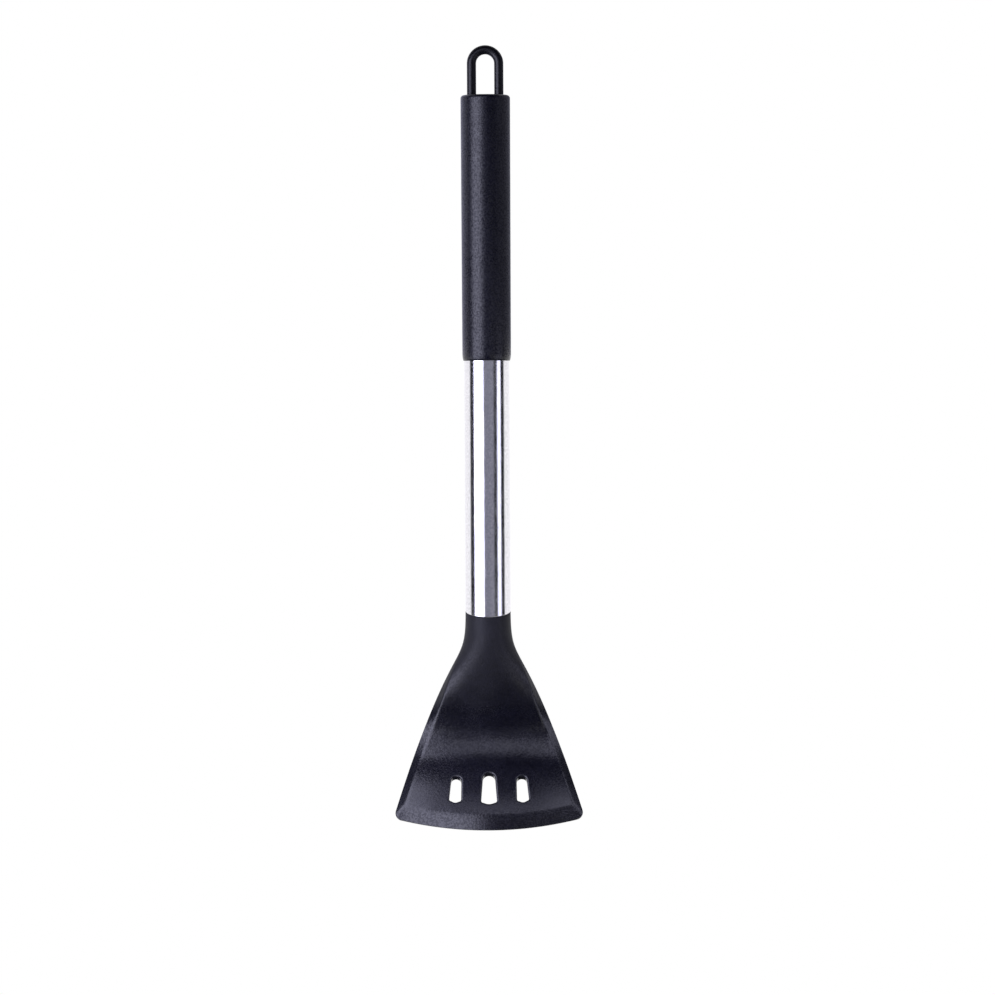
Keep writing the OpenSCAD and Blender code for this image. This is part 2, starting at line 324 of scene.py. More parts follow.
@dataclass(frozen=True)
class Moulded(Finish):
    """Moulded silicone, rubber or plastic with a fine spark-eroded grain that glints.

    The shares are those of grain against specks in the relief, of specks against clouds in the
    colour, and of grain against clouds in the roughness.
    """

    specular: float = 0.5
    glint: Span = (0.0, 0.1)
    glint_rough: float = 0.3
    speck_grains: float = 2.7
    cloud_mm: float = 9.0
    deep_grains: float = 0.3
    relief_share: float = 0.8
    colour_share: float = 0.6
    rough_share: float = 0.4

    def constants(self) -> dict[str, float]:
        """Inputs that are the same all over, by socket name."""
        return {"Specular IOR Level": self.specular, "Coat Roughness": self.glint_rough}

    def relief(self, graph: Graph) -> "Field | float":
        """Height of the grain, as a share of its usual height."""
        return 1.0

    def shade(self, graph: Graph) -> dict[str, Field]:
        """Describe the inputs that vary over the surface.

        Args:
            graph: The material's node graph.

        Returns:
            Socket name to field.
        """
        place = graph.place()
        grain = graph.noise(place, self.grain_mm, detail=1.0)
        speck = graph.noise(place, self.grain_mm * self.speck_grains, detail=1.0)
        cloud = graph.noise(place, self.cloud_mm, detail=3.0)
        relief = self.relief(graph)
        tone = blend(speck, cloud, self.colour_share).step(*NOISE_SPAN)
        height = blend(grain, speck, self.relief_share) * relief
        sparkle = NOISE_MIDDLE + (grain - NOISE_MIDDLE) * relief
        return {
            "Base Color": graph.tint(tone, self.dark, self.light),
            "Roughness": spread(blend(grain, cloud, self.rough_share), self.rough),
            "Coat Weight": spread(sparkle, self.glint),
            "Normal": graph.bump(height, self.bump, self.deep_grains * self.grain_mm),
        }


@dataclass(frozen=True)
class Graded(Moulded):
    """Moulded silicone: dull on the neck, fine on the blade's lower face and coarse on the lip."""

    neck_z: Span = (-283.0, -246.0)
    neck_rough: float = 0.42
    neck_dim: float = 0.8
    bloom: float = 0.05
    bloom_rough: float = 0.4
    lip_z: Span = (-320.0, -317.0)
    face_z: Span = (-312.0, -298.0)
    lip_relief: float = 2.2
    face_relief: float = 0.5
    blade_relief: float = 1.4

    def constants(self) -> dict[str, float]:
        """Inputs that are the same all over, by socket name."""
        sheen = {"Sheen Weight": self.bloom, "Sheen Roughness": self.bloom_rough}
        return {**super().constants(), **sheen}

    def above(self, graph: Graph, span: Span) -> Field:
        """Field of 0 below a span of heights to 1 above it."""
        return graph.part(graph.place(), Axis.Z).step(span[0] * MM, span[1] * MM)

    def relief(self, graph: Graph) -> Field:
        """Vary the height of the grain from the lip up to the blade.

        Args:
            graph: The material's node graph.

        Returns:
            The height, as a share of its usual height.
        """
        lip = (1 - self.above(graph, self.lip_z)) * (self.lip_relief - self.face_relief)
        blade = self.above(graph, self.face_z) * (self.blade_relief - self.face_relief)
        return lip + blade + self.face_relief

    def shade(self, graph: Graph) -> dict[str, Field]:
        """Describe the inputs that vary over the surface.

        Args:
            graph: The material's node graph.

        Returns:
            Socket name to field.
        """
        fields = super().shade(graph)
        neck = self.above(graph, self.neck_z)
        fields["Roughness"] = fields["Roughness"] + neck * self.neck_rough
        fields["Coat Weight"] = fields["Coat Weight"] * (1 - self.neck_dim * neck)
        return fields


@dataclass(frozen=True)
class Brushed(Finish):
    """Steel polished along its length, with fine streaks, specks, mottling and shallow waves.

    The shares are those of streaks against specks in the colour, and of streaks against mottling
    in the roughness.
    """

    streak: float = 40.0
    speck_mm: float = 0.8
    mottle_mm: float = 3.5
    mottle_along: float = 0.35
    wave_mm: float = 7.0
    wave_deep: float = 0.05
    colour_share: float = 0.2
    colour_span: Span = (0.25, 0.75)
    rough_share: float = 0.5

    def constants(self) -> dict[str, float]:
        """Inputs that are the same all over, by socket name."""
        return {"Metallic": 1.0}

    def shade(self, graph: Graph) -> dict[str, Field]:
        """Describe the inputs that vary over the surface.

        Args:
            graph: The material's node graph.

        Returns:
            Socket name to field.
        """
        place = graph.place()
        streaks = graph.noise(graph.along(place, 1.0 / self.streak), self.grain_mm, detail=3.0)
        mottle = graph.noise(graph.along(place, self.mottle_along), self.mottle_mm, detail=2.0)
        waves = graph.noise(place, self.wave_mm, detail=1.0)
        specks = graph.noise(place, self.speck_mm, detail=1.0)
        tone = blend(streaks, specks, self.colour_share).step(*self.colour_span)
        return {
            "Base Color": graph.tint(tone, self.dark, self.light),
            "Roughness": spread(blend(streaks, mottle, self.rough_share), self.rough),
            "Normal": graph.bump(streaks * self.bump + waves, 1.0, self.wave_deep),
        }


SILICONE = Graded(
    name="black silicone",
    dark=(0.003, 0.003, 0.0065),
    light=(0.005, 0.005, 0.0105),
    rough=(0.2, 0.28),
    grain_mm=0.8,
    bump=0.24,
    specular=0.37,
    glint=(0.0, 0.47),
    glint_rough=0.25,
)
GRIP_PLASTIC = Moulded(
    name="grained black plastic",
    dark=(0.002, 0.0022, 0.007),
    light=(0.004, 0.0042, 0.011),
    rough=(0.25, 0.36),
    grain_mm=0.7,
    bump=0.8,
    specular=0.18,
    glint=(0.13, 0.72),
    glint_rough=0.32,
)
LOOP_PLASTIC = Moulded(
    name="glossy black plastic",
    dark=(0.002, 0.002, 0.004),
    light=(0.004, 0.004, 0.006),
    rough=(0.28, 0.38),
    grain_mm=0.8,
    bump=0.35,
    specular=0.3,
)
NYLON = Moulded(
    name="black nylon",
    dark=(0.04, 0.04, 0.042),
    light=(0.06, 0.06, 0.062),
    rough=(0.45, 0.6),
    grain_mm=0.4,
    bump=0.3,
)
SEAL = Moulded(
    name="seal ring rubber",
    dark=(0.014, 0.014, 0.014),
    light=(0.022, 0.022, 0.022),
    rough=(0.5, 0.65),
    grain_mm=0.3,
    bump=0.2,
)
TUBE_STEEL = Brushed(
    name="polished tube steel",
    dark=(0.69, 0.685, 0.695),
    light=(0.85, 0.845, 0.85),
    rough=(0.12, 0.19),
    grain_mm=0.16,
    bump=0.12,
)
INNER_STEEL = Brushed(
    name="plain steel",
    dark=(0.48, 0.48, 0.49),
    light=(0.6, 0.6, 0.61),
    rough=(0.25, 0.4),
    grain_mm=0.2,
    bump=0.2,
)


@dataclass(frozen=True)
class Rounding:
    """Rounding of edges: its width, its segments and the least angle of an edge, in degrees."""

    width: float
    segments: int
    least_angle: float


class Bench:
    """The hand operations that the pieces are modelled with.

    Points within the weld, in metres, become one. The nudge, in millimetres, keeps a pulled ring
    off the one before until it gets its place.
    """

    WELD = 1e-6
    SMOOTH_ANGLE = 40.0
    NUDGE = (0.0, 0.1, 0.0)

    @staticmethod
    def clear() -> None:
        """Deselect everything."""
        bpy.ops.object.select_all(action="DESELECT")

    @staticmethod
    def choose(piece: bpy.types.Object) -> None:
        """Select one piece alone and make it active.

        Args:
            piece: The piece.
        """
        Bench.clear()
        piece.select_set(True)
        bpy.context.view_layer.objects.active = piece

    @staticmethod
    @contextmanager
    def editing(piece: bpy.types.Object, pick: Pick = Pick.VERTEX) -> Iterator[None]:
        """Hold a piece in edit mode with all of it selected.

        Args:
            piece: The piece to edit.
            pick: What the selection is made of.

        Returns:
            The context in which the piece is edited.
        """
        Bench.choose(piece)
        bpy.ops.object.mode_set(mode="EDIT")
        bpy.ops.mesh.select_mode(type=pick.value)
        bpy.ops.mesh.select_all(action="SELECT")
        yield
        bpy.ops.object.mode_set(mode="OBJECT")

    @staticmethod
    def named(name: str) -> bpy.types.Object:
        """Name the object just added and move its place into its mesh.

        Args:
            name: The piece's name.

        Returns:
            The piece.
        """
        piece = bpy.context.active_object
        piece.name = piece.data.name = name
        bpy.ops.object.transform_apply(location=True, rotation=True, scale=True)
        return piece

    @staticmethod
    def pull(offset: Point) -> None:
        """Extrude the selection by an offset in millimetres."""
        way = tuple(v * MM for v in offset)
        bpy.ops.mesh.extrude_region_move(TRANSFORM_OT_translate={"value": way})

    @staticmethod
    def face_outwards() -> None:
        """Turn every face of the mesh in edit mode outwards."""
        bpy.ops.mesh.select_all(action="SELECT")
        bpy.ops.mesh.normals_make_consistent(inside=False)

    @staticmethod
    def lathe(
        name: str, stations: Sequence[Span], segments: int, ends: Ends
    ) -> bpy.types.Object:
        """Turn a piece about Z by pulling a circle from station to station.

        Args:
            name: The piece's name.
            stations: Radius and height of each ring.
            segments: Points round each ring.
            ends: Whether a face closes each end.

        Returns:
            The turned piece.
        """
        Bench.clear()
        radius, height = stations[0]
        bpy.ops.mesh.primitive_circle_add(
            vertices=segments,
            radius=radius * MM,
            fill_type=ends.value,
            location=(0, 0, height * MM),
        )
        piece = Bench.named(name)
        with Bench.editing(piece):
            for next_radius, next_height in stations[1:]:
                Bench.pull((0, 0, next_height - height))
                k = next_radius / radius
                centre = (0, 0, next_height * MM)
                bpy.ops.transform.resize(value=(k, k, 1), center_override=centre)
                radius, height = next_radius, next_height
            Bench.face_outwards()
        return piece

    @staticmethod
    def grow(tool: bpy.types.Object, ring: Sequence[Vector]) -> None:
        """Pull a tool's last ring on to the next one.

        Args:
            tool: The tool, whose last vertices are its last ring.
            ring: Places of the next ring's vertices, in metres.
        """
        with Bench.editing(tool):
            bpy.ops.mesh.select_all(action="DESELECT")
        first = len(tool.data.vertices) - len(ring)
        for v in tool.data.vertices:
            v.select = v.index >= first
        bpy.ops.object.mode_set(mode="EDIT")
        bpy.ops.mesh.select_mode(type=Pick.VERTEX.value)
        Bench.pull(Bench.NUDGE)
        bpy.ops.object.mode_set(mode="OBJECT")
        moved = [v for v in tool.data.vertices if v.select]
        for v, place in zip(moved, ring):
            v.co = place

    @staticmethod
    def soften(piece: bpy.types.Object, rounding: Rounding) -> None:
        """Round every sharp edge of a piece.

        Args:
            piece: The piece.
            rounding: How the edges are rounded, and which.
        """
        with Bench.editing(piece, Pick.EDGE):
            bpy.ops.mesh.select_all(action="DESELECT")
            bpy.ops.mesh.edges_select_sharp(sharpness=math.radians(rounding.least_angle))
            bpy.ops.mesh.bevel(
                offset=rounding.width * MM,
                segments=rounding.segments,
                affect="EDGES",
                clamp_overlap=True,
            )

    @staticmethod
    def cut(piece: bpy.types.Object, tool: bpy.types.Object) -> None:
        """Take a tool's shape out of a piece and remove the tool.

        Args:
            piece: The piece.
            tool: The closed cutting mesh.
        """
        Bench.choose(piece)
        cutter = piece.modifiers.new("cut", "BOOLEAN")
        cutter.operation = "DIFFERENCE"
        cutter.solver = "EXACT"
        cutter.object = tool
        bpy.ops.object.modifier_apply(modifier=cutter.name)
        bpy.data.objects.remove(tool)

    @staticmethod
    def smooth(piece: bpy.types.Object) -> None:
        """Shade a piece smooth but for its sharp edges, with large faces leading.

        Args:
            piece: The piece.
        """
        Bench.choose(piece)
        bpy.ops.object.shade_smooth_by_angle(angle=math.radians(Bench.SMOOTH_ANGLE))
        weighted = piece.modifiers.new("weighted", "WEIGHTED_NORMAL")
        weighted.keep_sharp = True
        bpy.ops.object.modifier_apply(modifier=weighted.name)


@dataclass
class Piece:
    """A visual piece that stands for one CAD node."""

    node: str
    slot: str
    finish: Finish

    def build(self) -> bpy.types.Object:
        """Model the piece as a mesh at its place."""
        raise NotImplementedError

    def dress(self, piece: bpy.types.Object) -> None:
        """Give the piece its finish and its place in the model.

        Args:
            piece: The modelled mesh.
        """
        piece.data.materials.clear()
        piece.data.materials.append(self.finish.material())
        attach(piece, "root")
        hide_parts(self.node)
        LOG.info("%s: %d faces", piece.name, len(piece.data.polygons))


@dataclass
class Handle:
    """Sizes along the handle that its pieces share."""

    tube_r: float = 9.525
    tube_wall: float = 0.6
    grip_top: float = -17.2
    grip_len: float = 112.0
    cap_t: float = 3.5
    tube_show: float = 105.5
    cut_angle: float = 14.7
    leg_x: float = 5.75
    bar_r: float = 1.94

    @property
    def cap_foot(self) -> float:
        """Height of the underside of the grip's closed top."""
        return self.grip_top - self.cap_t

    @property
    def mouth(self) -> float:
        """Height of the grip's mouth."""
        return self.grip_top - self.grip_len

    @property
    def joint(self) -> float:
        """Height of the joint between tube and head, on the axis."""
        return self.mouth - self.tube_show


@dataclass
class HangingLoop(Piece):
    """U-shaped round bar whose legs stand in the grip's top."""

    handle: Handle = field(default_factory=Handle)
    leg_depth: float = 22.4
    round_steps: int = 40
    arch_steps: int = 48
    foot_round: Rounding = Rounding(width=0.3, segments=2, least_angle=60.0)

    def build(self) -> bpy.types.Object:
        """Pull a disc up one leg, spin it over the arch and pull it down the other leg.

        Returns:
            The loop.
        """
        h = self.handle
        arch = -(h.leg_x - h.bar_r)
        foot = h.grip_top - self.leg_depth
        Bench.clear()
        bpy.ops.mesh.primitive_circle_add(
            vertices=self.round_steps,
            radius=h.bar_r * MM,
            fill_type=Ends.CLOSED.value,
            location=(-h.leg_x * MM, 0, foot * MM),
        )
        piece = Bench.named("loop")
        with Bench.editing(piece, Pick.FACE):
            Bench.pull((0, 0, arch - foot))
            bpy.ops.mesh.spin(
                steps=self.arch_steps,
                angle=math.pi,
                center=(0, 0, arch * MM),
                axis=(0, -1, 0),
            )
            Bench.pull((0, 0, foot - arch))
            bpy.ops.mesh.select_all(action="SELECT")
            bpy.ops.mesh.remove_doubles(threshold=Bench.WELD)
            Bench.face_outwards()
        Bench.soften(piece, self.foot_round)
        Bench.smooth(piece)
        return piece


@dataclass
class Grip(Piece):
    """Sleeve with a closed top, a rounded upper edge and a thin rounded mouth."""

    handle: Handle = field(default_factory=Handle)
    wall_top: float = 0.92
    wall_mouth: float = 0.72
    edge_r: float = 1.4
    edge_steps: int = 10
    lip_h: float = 3.0
    lip_flat: float = 0.05
    lip_steps: int = 8
    segments: int = 128
    hole_gap: float = 0.02
    hole_caps: float = 4.0
    hole_steps: int = 48

    def stations(self) -> list[Span]:
        """List the rings from the inside of the top, down the bore and up the outside.

        Returns:
            Radius and height of each ring.
        """
        h = self.handle
        top_r = h.tube_r + self.wall_top
        rings = [(h.tube_r, h.cap_foot), (h.tube_r, h.mouth)]
        for a in quarter(self.lip_steps):
            r = h.tube_r + mix(self.lip_flat, self.wall_mouth, math.sin(a))
            rings.append((r, h.mouth + self.lip_h * (1 - math.cos(a))))
        for a in quarter(self.edge_steps):
            r = top_r - self.edge_r * (1 - math.cos(a))
            rings.append((r, h.grip_top - self.edge_r * (1 - math.sin(a))))
        return rings

    def build(self) -> bpy.types.Object:
        """Turn the sleeve and cut the holes of the loop's legs.

        Returns:
            The sleeve.
        """
        h = self.handle
        piece = Bench.lathe("grip_sleeve", self.stations(), self.segments, Ends.CLOSED)
        for side in (-1, 1):
            Bench.clear()
            bpy.ops.mesh.primitive_cylinder_add(
                vertices=self.hole_steps,
                radius=(h.bar_r + self.hole_gap) * MM,
                depth=self.hole_caps * h.cap_t * MM,
                location=(side * h.leg_x * MM, 0, h.grip_top * MM),
            )
            Bench.cut(piece, Bench.named("leg_hole"))
        Bench.smooth(piece)
        return piece


@dataclass
class Tube(Piece):
    """Thin steel tube from the grip's top to the oblique joint with the head."""

    handle: Handle = field(default_factory=Handle)
    segments: int = 144
    end_round: Rounding = Rounding(width=0.4, segments=4, least_angle=50.0)

    def build(self) -> bpy.types.Object:
        """Turn the tube and cut its lower end at a slant.

        Returns:
            The tube.
        """
        h = self.handle
        top = h.cap_foot
        low = h.joint - h.tube_r
        bore = h.tube_r - h.tube_wall
        rings = [(h.tube_r, low), (h.tube_r, top), (bore, top), (bore, low)]
        piece = Bench.lathe("tube", rings, self.segments, Ends.OPEN)
        tilt = math.radians(h.cut_angle)
        with Bench.editing(piece, Pick.EDGE):
            bpy.ops.mesh.bisect(
                plane_co=(0, 0, h.joint * MM),
                plane_no=(0, -math.sin(tilt), math.cos(tilt)),
                clear_inner=True,
            )
            bpy.ops.mesh.select_all(action="DESELECT")
            bpy.ops.mesh.select_non_manifold()
            bpy.ops.mesh.bridge_edge_loops()
            Bench.face_outwards()
        Bench.soften(piece, self.end_round)
        Bench.smooth(piece)
        return piece


@dataclass(frozen=True)
class Slot:
    """One tapered slot in the blade: where it is and how big."""

    x: float
    length: float
    top: float
    foot: float
    fan: float = 0.0
    corner_r: float = 1.0
    arc_step: int = 9
    corner_step: int = 10
    foot_parts: int = 5

    def outline(self, grow: float, bow: float) -> list[Span]:
        """Trace the slot's edge in the blade's surface.

        Args:
            grow: How far outside the slot's wall the trace runs.
            bow: Rise of the lower end's corners above its middle.

        Returns:
            Points across and up the blade from the slot's middle.
        """
        half, n = self.length / 2, self.foot_parts
        corner_x, corner_y = self.foot / 2 - self.corner_r, -half + bow + self.corner_r
        r = self.corner_r + grow
        points = arc(0, half - self.top / 2, self.top / 2 + grow, range(0, 181, self.arc_step))
        points += arc(-corner_x, corner_y, r, range(180, 271, self.corner_step))
        points += [
            (corner_x * k / n, -half - grow + bow * (k / n) ** 2) for k in range(1 - n, n)
        ]
        points += arc(corner_x, corner_y, r, range(270, 361, self.corner_step))
        cos, sin = math.cos(math.radians(self.fan)), math.sin(math.radians(self.fan))
        return [(self.x + px * cos - py * sin, px * sin + py * cos) for px, py in points]


@dataclass
class Head(Piece):
    """Fan-shaped head: a round neck that flattens, bends forward and ends in a bevelled lip.

    Its edge in the front view is a cubic curve, whose two handles are shares of its depth. The
    joint's slant fades over the collar, and rows take on the lip's bow over a span of the curve.
    """

    handle: Handle = field(default_factory=Handle)
    height: float = 91.7
    width: float = 80.4
    flank_angle: float = 17.7
    flank_share: float = 0.926
    neck_share: float = 0.302
    lip_r: float = 165.0
    corner_r: float = 3.2
    neck_swell: float = 0.8
    neck_len: float = 12.0
    collar_len: float = 16.0
    flat_margin: float = 2.0
    bend_start: float = 49.8
    bend_r: float = 32.0
    bend_angle: float = 29.0
    blade_r: float = 100.0
    crown_r: float = 200.0
    blade_t: float = 4.0
    edge_t: float = 1.0
    edge_round: Rounding = Rounding(width=0.3, segments=3, least_angle=40.0)
    side_bevel: float = 3.2
    lip_bevel: float = 6.4
    mitre_round: float = 0.25
    crease_round: float = 0.12
    bow_span: Span = (0.5, 0.85)
    slot_foot: float = 10.8
    slot_round: float = 0.75
    slot_back: float = 0.6
    slot_round_steps: int = 6
    slot_bow_reach: float = 7.0
    slot_bow_extra: float = 0.3
    tool_past: float = 1.5
    slots: tuple[Slot, ...] = (
        Slot(x=0.0, length=13.6, top=5.2, foot=6.6),
        Slot(x=-14.0, length=11.4, top=4.3, foot=5.0, fan=-3.5),
        Slot(x=14.0, length=11.4, top=4.3, foot=5.0, fan=3.5),
    )
    columns: int = 76
    bevel_columns: int = 9
    bevel_room: float = 1.5
    rows: int = 120
    lip_rows: int = 14
    side_angle: float = 87.0

    def sag(self, x: float) -> float:
        """Rise of the lip's arc above its lowest point, at x from the middle."""
        return self.lip_r - math.sqrt(self.lip_r**2 - x * x)

    @property
    def corner_s(self) -> float:
        """Depth of the lip's corners below the joint."""
        return self.height - self.sag(self.width / 2)

    @property
    def bevel_u(self) -> float:
        """Outline parameter at which the lip's bevel begins."""
        return 1 - self.lip_bevel / (3 * self.flank_share * self.corner_s)

    @property
    def bend_end(self) -> float:
        """Depth below the joint at which the forward bend ends."""
        return self.bend_start + self.bend_r * math.sin(math.radians(self.bend_angle))

    def outline(self, u: float) -> Span:
        """Follow the head's edge in the front view, along a cubic curve.

        Args:
            u: 0 at the joint, 1 at the lip's corner.

        Returns:
            Half width, and depth below the joint.
        """
        r, corner_x, corner_s = self.handle.tube_r, self.width / 2, self.corner_s
        hold = self.flank_share * corner_s
        slope = math.tan(math.radians(self.flank_angle))
        xs = (r, r, corner_x - hold * slope, corner_x)
        ss = (0.0, self.neck_share * corner_s, corner_s - hold, corner_s)
        weights = ((1 - u) ** 3, 3 * u * (1 - u) ** 2, 3 * u * u * (1 - u), u**3)
        return sum(w * x for w, x in zip(weights, xs)), sum(w * s for w, s in zip(weights, ss))

    def lean(self, s: float) -> float:
        """Lean of the middle surface.

        Args:
            s: Depth below the joint.

        Returns:
            The angle forward from upright, in radians.
        """
        if s <= self.bend_start:
            return 0.0
        if s <= self.bend_end:
            return math.asin((s - self.bend_start) / self.bend_r)
        turn = math.radians(self.bend_angle)
        return math.asin(math.sin(turn) - (s - self.bend_end) / self.blade_r)

    def spine(self, s: float) -> float:
        """Place of the middle surface, front to back.

        Args:
            s: Depth below the joint.

        Returns:
            Its Y.
        """
        if s <= self.bend_start:
            return 0.0
        cos = math.cos(self.lean(s))
        if s <= self.bend_end:
            return -self.bend_r * (1 - cos)
        end_cos = math.cos(math.radians(self.bend_angle))
        return -self.bend_r * (1 - end_cos) - self.blade_r * (cos - end_cos)

    def half_t(self, s: float) -> float:
        """Half the head's thickness.

        Args:
            s: Depth below the joint.

        Returns:
            The distance from the middle surface to a face.
        """
        neck = self.handle.tube_r + self.neck_swell * ease(0, self.neck_len, s)
        thinned = ease(self.neck_len, self.bend_start + self.flat_margin, s)
        return mix(neck, self.blade_t / 2, thinned)

    def square(self, s: float) -> float:
        """How far the section has gone from round to flat, at a depth s below the joint."""
        return ease(self.collar_len, self.bend_start - self.flat_margin, s)

    def point(self, x: float, s: float, o: float) -> Vector:
        """Place a point of the head.

        Args:
            x: Distance from the middle.
            s: Depth below the joint.
            o: Offset from the middle surface toward the front.

        Returns:
            The point, in metres.
        """
        a = self.lean(s)
        y = self.spine(s) - o * math.cos(a) + self.square(s) * x * x / (2 * self.crown_r)
        level = ease(0, self.collar_len, s)
        slant = y * math.tan(math.radians(self.handle.cut_angle)) * (1 - level)
        return Vector((x, y, self.handle.joint - s + o * math.sin(a) + slant)) * MM

    def row_u(self, i: int) -> float:
        """Outline parameter of a row.

        Args:
            i: Row, from 0 at the joint.

        Returns:
            The parameter, with rows closer together toward the lip.
        """
        main_rows = self.rows - self.lip_rows
        if i <= main_rows:
            return self.bevel_u * i / main_rows
        turn = math.radians(90 * (i - main_rows) / self.lip_rows)
        return mix(self.bevel_u, 1.0, math.sin(turn))

    def column(self, j: int, bevel: float) -> float:
        """Place of a column across the blade.

        Args:
            j: Column, from 0 at the left edge.
            bevel: Share of the half width that the closer columns at each side take.

        Returns:
            A number from -1 to 1.
        """
        n, m = self.columns, self.bevel_columns
        if j < m:
            return -1 + bevel * j / m
        if j > n - m:
            return 1 - bevel * (n - j) / m
        return mix(-1 + bevel, 1 - bevel, (j - m) / (n - 2 * m))

    def surface(self, i: int, j: int, face: Face) -> Vector:
        """Place one vertex of the head's skin.

        Args:
            i: Row, from the joint.
            j: Column, from the left.
            face: The face that it lies on.

        Returns:
            The vertex, in metres.
        """
        u = self.row_u(i)
        edge_x, edge_s = self.outline(u)
        bow = ease(*self.bow_span, u)
        square = self.square(edge_s)
        gap = max(0.0, self.height - edge_s - bow * self.sag(edge_x))
        w = edge_x
        if gap < self.corner_r:
            w -= self.corner_r - math.sqrt(self.corner_r**2 - (self.corner_r - gap) ** 2)
        turn = math.radians(mix(-self.side_angle, self.side_angle, j / self.columns))
        flat = self.column(j, self.bevel_room * self.side_bevel / w)
        round_x = math.sin(turn) / math.sin(math.radians(self.side_angle))
        x = w * mix(round_x, flat, square)
        s = edge_s + bow * (self.sag(edge_x) - self.sag(x))
        h = self.half_t(s)
        side_rise = w * (1 - abs(flat)) / self.side_bevel
        lip_rise = (1 - u) / (1 - self.bevel_u)
        rise = soft_min(side_rise, lip_rise, self.mitre_round)
        rise = max(0.0, soft_min(rise, 1.0, self.crease_round))
        o = mix(h * math.cos(turn), mix(self.edge_t / 2, h, rise), square)
        return self.point(x, s, face.value * o)

    def sheet(self) -> bpy.types.Object:
        """Model the head without its slots: a grid pulled to thickness.

        Returns:
            The closed mesh.
        """
        Bench.clear()
        bpy.ops.mesh.primitive_grid_add(
            x_subdivisions=self.columns, y_subdivisions=self.rows, size=2
        )
        piece = Bench.named("head")
        mesh = piece.data
        marks = ("row", "column")
        for mark in marks:
            mesh.attributes.new(mark, "INT", "POINT")
        for v in mesh.vertices:
            i = round((1 - v.co.y) / 2 * self.rows)
            j = round((1 + v.co.x) / 2 * self.columns)
            for mark, value in zip(marks, (i, j)):
                mesh.attributes[mark].data[v.index].value = value
            v.co = self.surface(i, j, Face.FRONT)
        with Bench.editing(piece):
            Bench.pull((0, self.blade_t, 0))
        for v in mesh.vertices:
            if v.select:
                i, j = (mesh.attributes[mark].data[v.index].value for mark in marks)
                v.co = self.surface(i, j, Face.BACK)
        for mark in marks:
            mesh.attributes.remove(mesh.attributes[mark])
        with Bench.editing(piece):
            Bench.face_outwards()
        Bench.soften(piece, self.edge_round)
        return piece

    def tool_levels(self) -> list[Span]:
        """List the levels of a slot's cutter, which flares at both faces of the blade.

        Returns:
            Offset from the middle surface and growth of the outline, from front to back.
        """
        h, r, back = self.blade_t / 2, self.slot_round, self.slot_back
        flare = [
            (h - r + r * math.sin(a), r - r * math.cos(a))
            for a in quarter(self.slot_round_steps)
        ]
        front = [(h + self.tool_past, r), *reversed(flare)]
        return front + [(-o, g * back) for o, g in flare] + [(-h - self.tool_past, back * r)]

    def slot_tool(self, slot: Slot) -> bpy.types.Object:
        """Model the cutter of one slot, which leaves rounded edges.

        Args:
            slot: The slot.

        Returns:
            The closed cutter.
        """
        foot_s = self.height - self.slot_foot - self.sag(slot.x)
        mid_s = foot_s - slot.length / 2 * math.cos(math.radians(self.bend_angle))
        fall = math.cos(self.lean(mid_s))
        bow_x = slot.foot / 2 - slot.corner_r + self.slot_bow_reach
        bow = self.sag(bow_x) + self.slot_bow_extra
        rings = [
            [self.point(px, mid_s - py * fall, o) for px, py in slot.outline(grow, bow)]
            for o, grow in self.tool_levels()
        ]
        Bench.clear()
        bpy.ops.mesh.primitive_circle_add(
            vertices=len(rings[0]), radius=MM, fill_type=Ends.CLOSED.value
        )
        tool = Bench.named("slot_tool")
        for v, place in zip(tool.data.vertices, rings[0]):
            v.co = place
        for ring in rings[1:]:
            Bench.grow(tool, ring)
        with Bench.editing(tool):
            Bench.face_outwards()
        return tool

    def build(self) -> bpy.types.Object:
        """Model the head and cut its slots.

        Returns:
            The head.
        """
        piece = self.sheet()
        for slot in self.slots:
            Bench.cut(piece, self.slot_tool(slot))
        Bench.smooth(piece)
        return piece


@dataclass(frozen=True)
class Insides:
    """The pieces inside the tool, which keep their CAD meshes."""

    nylon: tuple[str, ...] = ("blade_core", "lower_plug", "upper_plug")
    steel: tuple[str, ...] = ("tang", "tang_pin", "loop_pin")
    rubber: tuple[str, ...] = ("lower_seal", "upper_seal")

    def dress(self, nodes: dict[str, bpy.types.Object]) -> None:
        """Give the pieces their finishes.

        Args:
            nodes: The CAD nodes by name.
        """
        groups = ((self.nylon, NYLON), (self.steel, INNER_STEEL), (self.rubber, SEAL))
        for names, finish in groups:
            for name in names:
                nodes[name].data.materials.clear()
                nodes[name].data.materials.append(finish.material())
                LOG.info("%s: CAD node in %s", name, finish.name)


